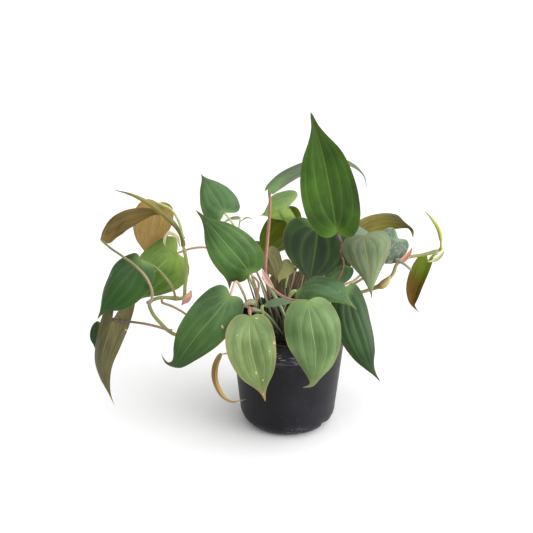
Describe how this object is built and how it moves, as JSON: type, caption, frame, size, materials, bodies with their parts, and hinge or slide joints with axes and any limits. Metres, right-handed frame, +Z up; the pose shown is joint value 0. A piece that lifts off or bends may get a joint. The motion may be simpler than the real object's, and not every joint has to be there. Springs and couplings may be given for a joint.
{
  "type": "potted philodendron",
  "caption": "Potted heart-leaf philodendron: arching stalks with velvety heart-shaped leaves, trailing vines and a plain tapered nursery pot.",
  "frame": {"origin": "centre of the underside of the pot, on the surface it stands on", "axes": "+Z up through the pot, -Y towards the front of the plant, +X to the plant's right as seen from the front"},
  "size_m": [0.3485, 0.1684, 0.326],
  "materials": {
    "pot_plastic": "satin",
    "potting_soil": "matte",
    "leaf_green": "satin",
    "leaf_dark_green": "satin",
    "leaf_bright_green": "satin",
    "leaf_light_green": "satin",
    "leaf_silver_green": "satin",
    "leaf_olive_back": "satin",
    "leaf_bronze": "satin",
    "stem_green": "satin",
    "sheath_pink": "satin",
    "shoot_yellow_green": "satin"
  },
  "bodies": {
    "root": {"pot": "pot_plastic", "soil": "potting_soil", "leaf_crown": "leaf_green", "leaf_arching": "leaf_green", "leaf_backlit": "leaf_bright_green", "leaf_upper_left": "leaf_green", "leaf_left_centre": "leaf_dark_green", "leaf_sprig": "leaf_light_green", "leaf_olive_back": "leaf_olive_back", "leaf_centre": "leaf_dark_green", "leaf_right_centre": "leaf_silver_green", "leaf_low_right_centre": "leaf_light_green", "leaf_inner_small": "leaf_light_green", "leaf_front_right": "leaf_light_green", "leaf_front_left": "leaf_light_green", "leaf_low_left": "leaf_green", "leaf_low_right": "leaf_dark_green", "leaf_olive_right": "leaf_olive_back", "leaf_blue_strip": "leaf_silver_green", "leaf_mottled": "leaf_silver_green", "leaf_hanging_right": "leaf_bronze", "leaf_dark_small": "leaf_dark_green", "leaf_grey_inner": "leaf_olive_back", "leaf_pale_inner": "leaf_light_green", "leaf_bronze_arch": "leaf_bronze", "leaf_bronze_back": "leaf_bronze", "leaf_bright_left": "leaf_bright_green", "leaf_dark_left": "leaf_dark_green", "leaf_olive_trailing": "leaf_olive_back", "leaf_tucked_left": "leaf_dark_green", "leaf_curled_low": "leaf_bronze", "leaf_back_left": "leaf_green", "leaf_back_right": "leaf_green", "leaf_back_low": "leaf_dark_green", "vine_left": "stem_green", "vine_right": "stem_green", "runner_left": "stem_green", "stem_front_left": "stem_green", "stem_front_right": "stem_green", "stem_centre": "stem_green", "sheath_front_right": "sheath_pink", "sheath_front_left": "sheath_pink", "sheath_left_node": "sheath_pink", "sheath_left_hook": "sheath_pink", "shoot_left": "shoot_yellow_green", "shoot_right": "shoot_yellow_green", "shoot_upper_left": "shoot_yellow_green", "sheath_right_node": "sheath_pink", "sheath_right_end": "sheath_pink", "aerial_root_right": "stem_green", "bud_right_node": "shoot_yellow_green"}
  },
  "joints": []
}
